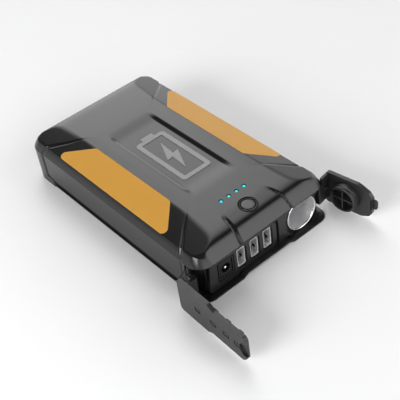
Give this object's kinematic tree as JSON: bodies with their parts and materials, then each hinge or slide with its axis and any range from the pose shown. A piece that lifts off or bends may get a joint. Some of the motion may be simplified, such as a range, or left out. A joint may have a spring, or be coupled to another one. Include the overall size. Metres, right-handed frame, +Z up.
{
  "type": "jump starter pack",
  "caption": "Portable jump starter pack with coloured side inlays, charge lights and a push button; USB ports, charging jack and accessory socket sit behind hinged rubber covers.",
  "frame": {"origin": "centre of the flat underside of the casing", "axes": "+Z up, -Y out of the port end, +X from the charging jack towards the accessory socket"},
  "size_m": [0.1272, 0.2207, 0.0353],
  "materials": {
    "casing": "fine moulded texture, charcoal",
    "casing_dark": "fine moulded texture, near black",
    "inlay": "satin orange",
    "print": "flat light grey print",
    "black_plastic": "plain moulded black",
    "circuit_board": "solder mask",
    "ceramic_chip": "small ceramic package",
    "steel": "plain sheet and turned steel",
    "chrome": "bright plating",
    "brass": "turned",
    "copper": "bare copper strip",
    "ferrite": "sintered",
    "aluminium": "satin",
    "cell_foil": "laminated foil pouch",
    "foam": "closed-cell foam",
    "nickel": "nickel strip",
    "cover_rubber": "matt soft rubber",
    "light_lens": "lit cyan indicator"
  },
  "bodies": {
    "casing": {"top_shell": "casing", "bottom_shell": "casing", "port_fascia": "casing_dark", "left_inlay": "inlay", "right_inlay": "inlay", "panel_badge": "print", "button_bezel": "casing_dark", "push_switch": "black_plastic", "button_board": "circuit_board", "led_lenses": "light_lens", "led_chips": "ceramic_chip", "usb_shell_left": "steel", "usb_shell_middle": "steel", "usb_shell_right": "steel", "usb_tongue_left": "black_plastic", "usb_tongue_middle": "black_plastic", "usb_tongue_right": "black_plastic", "dc_jack_body": "black_plastic", "dc_jack_pin": "chrome", "socket_ring": "chrome", "socket_barrel": "steel", "socket_housing": "black_plastic", "socket_contact": "brass", "positive_strip": "copper", "negative_strip": "copper", "main_board": "circuit_board", "power_inductor": "ferrite", "filter_capacitors": "aluminium", "power_transistors": "black_plastic", "heat_spreader": "aluminium", "battery_cell_lower": "cell_foil", "battery_cell_middle": "cell_foil", "battery_cell_upper": "cell_foil", "foam_pad_lower": "foam", "foam_pad_upper": "foam", "battery_tray": "black_plastic", "protection_board": "circuit_board", "cell_tabs": "nickel", "case_screws": "steel", "board_screws": "steel", "flap_hinge_pin": "steel", "cap_hinge_pin": "steel"},
    "flap": {"port_flap": "cover_rubber"},
    "cap": {"socket_cap": "cover_rubber"},
    "button": {"power_button": "casing", "switch_plunger": "black_plastic"}
  },
  "joints": [
    {"name": "flap_hinge", "type": "hinge", "parent": "casing", "child": "flap", "pos_m": [-0.0489, -0.0749, 0.013], "axis": [0, 0, 1], "range_deg": [0, 91.5]},
    {"name": "cap_hinge", "type": "hinge", "parent": "casing", "child": "cap", "pos_m": [0.0488, -0.0755, 0.013], "axis": [0, 0, -1], "range_deg": [0, 98.5]},
    {"name": "button_press", "type": "slide", "parent": "casing", "child": "button", "axis": [0, 0, -1], "range_m": [0, 0.0005], "stiffness_N_per_m": 2000, "springref_m": -0.0002}
  ]
}
